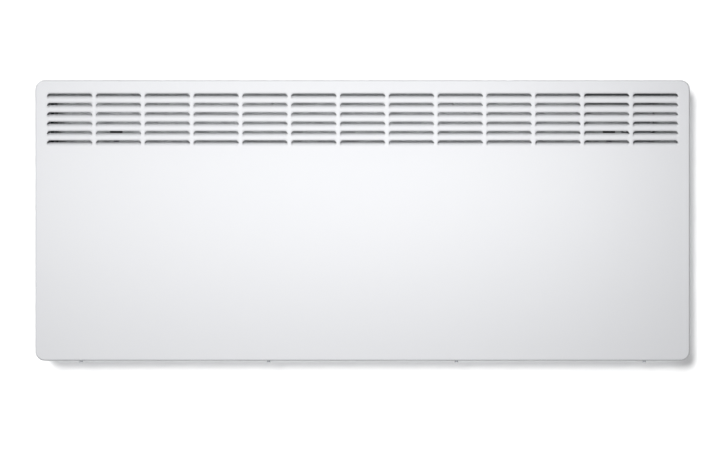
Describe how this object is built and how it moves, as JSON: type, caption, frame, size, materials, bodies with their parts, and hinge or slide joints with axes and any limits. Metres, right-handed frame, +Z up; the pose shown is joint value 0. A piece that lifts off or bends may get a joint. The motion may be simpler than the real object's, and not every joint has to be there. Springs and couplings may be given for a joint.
{
  "type": "wall panel convector heater",
  "caption": "Slim wall-hung panel convector heater: louvred white sheet cover, finned elements, top control panel, side power switch and a lift-off wall bracket with latches.",
  "frame": {"origin": "centre of the four wall-screw holes, on the wall face of the bracket", "axes": "+X to the right as seen from the room, along the heater's width; +Y into the wall; +Z up"},
  "size_m": [1.05, 0.1, 0.4533],
  "materials": {
    "cover_paint": "smooth satin white powder coat",
    "galvanised_panel": "galvanised sheet",
    "galvanised_sheet": "galvanised sheet, folded",
    "spring_steel": "bright spring steel",
    "screw_steel": "dark zinc-plated steel",
    "bright_aluminium": "bright rolled sheet",
    "fin_aluminium": "extruded, matt",
    "sheath_steel": "heat-tinted stainless tube",
    "ceramic": "unglazed steatite",
    "brass": "bright",
    "black_moulding": "fine matt moulding",
    "grey_moulding": "fine matt moulding",
    "white_moulding": "fine matt moulding",
    "key_white": "soft-touch moulding",
    "dark_window": "polished smoked window",
    "circuit_board": "glass-fibre board with green varnish",
    "relay_blue": "moulded case",
    "ribbon_grey": "flat cable",
    "silicone_lead": "silicone sleeve",
    "bracket_paint": "grey powder coat"
  },
  "bodies": {
    "wall_bracket": {"upright_left": "bracket_paint", "upright_right": "bracket_paint", "rail_top": "bracket_paint", "rail_bottom": "bracket_paint", "bracket_rivets": "fin_aluminium"},
    "heater": {"front_cover": "cover_paint", "back_panel": "galvanised_panel", "bottom_grille": "galvanised_sheet", "cover_screws": "screw_steel", "clip_nuts": "spring_steel", "cover_clips": "spring_steel", "duct_cheek": "galvanised_sheet", "compartment_wall": "galvanised_sheet", "heat_shield": "galvanised_sheet", "reflector": "bright_aluminium", "middle_support": "galvanised_sheet", "lower_fins": "fin_aluminium", "upper_fins": "fin_aluminium", "lower_rod": "sheath_steel", "upper_rod": "sheath_steel", "element_bushes": "ceramic", "element_blades": "brass", "thermal_cutout": "black_moulding", "control_fascia": "white_moulding", "display_window": "dark_window", "control_housing": "grey_moulding", "control_board": "circuit_board", "display_module": "dark_window", "tact_switches": "black_moulding", "power_housing": "grey_moulding", "power_lid": "grey_moulding", "power_board": "circuit_board", "relays": "relay_blue", "terminal_block": "white_moulding", "ribbon_cable": "ribbon_grey", "rocker_switch": "black_moulding", "cable_gland": "black_moulding", "earth_stud": "brass", "room_sensor": "white_moulding", "chassis_rivets": "fin_aluminium", "element_leads": "silicone_lead", "supply_leads": "silicone_lead", "switch_leads": "silicone_lead"},
    "latch_left": {"latch_left": "grey_moulding"},
    "latch_right": {"latch_right": "grey_moulding"},
    "power_rocker": {"power_rocker": "black_moulding"},
    "button_menu": {"button_menu": "key_white"},
    "button_minus": {"button_minus": "key_white"},
    "button_plus": {"button_plus": "key_white"},
    "button_ok": {"button_ok": "key_white"}
  },
  "joints": [
    {"name": "heater_lift", "type": "slide", "parent": "wall_bracket", "child": "heater", "axis": [0, 0, 1], "range_m": [0, 0.012]},
    {"name": "latch_left_turn", "type": "hinge", "parent": "wall_bracket", "child": "latch_left", "pos_m": [-0.4, -0.021, 0.145], "axis": [0, -1, 0], "range_deg": [0, 90]},
    {"name": "latch_right_turn", "type": "hinge", "parent": "wall_bracket", "child": "latch_right", "pos_m": [0.4, -0.021, 0.145], "axis": [0, 1, 0], "range_deg": [0, 90]},
    {"name": "power_rocker_tilt", "type": "hinge", "parent": "heater", "child": "power_rocker", "pos_m": [0.5207, -0.035, -0.15], "axis": [0, -1, 0], "range_deg": [0, 16]},
    {"name": "button_menu_press", "type": "slide", "parent": "heater", "child": "button_menu", "axis": [0, 0, -1], "range_m": [0, 0.0008], "stiffness_N_per_m": 400, "springref_m": -0.001},
    {"name": "button_minus_press", "type": "slide", "parent": "heater", "child": "button_minus", "axis": [0, 0, -1], "range_m": [0, 0.0008], "stiffness_N_per_m": 400, "springref_m": -0.001},
    {"name": "button_plus_press", "type": "slide", "parent": "heater", "child": "button_plus", "axis": [0, 0, -1], "range_m": [0, 0.0008], "stiffness_N_per_m": 400, "springref_m": -0.001},
    {"name": "button_ok_press", "type": "slide", "parent": "heater", "child": "button_ok", "axis": [0, 0, -1], "range_m": [0, 0.0008], "stiffness_N_per_m": 400, "springref_m": -0.001}
  ]
}
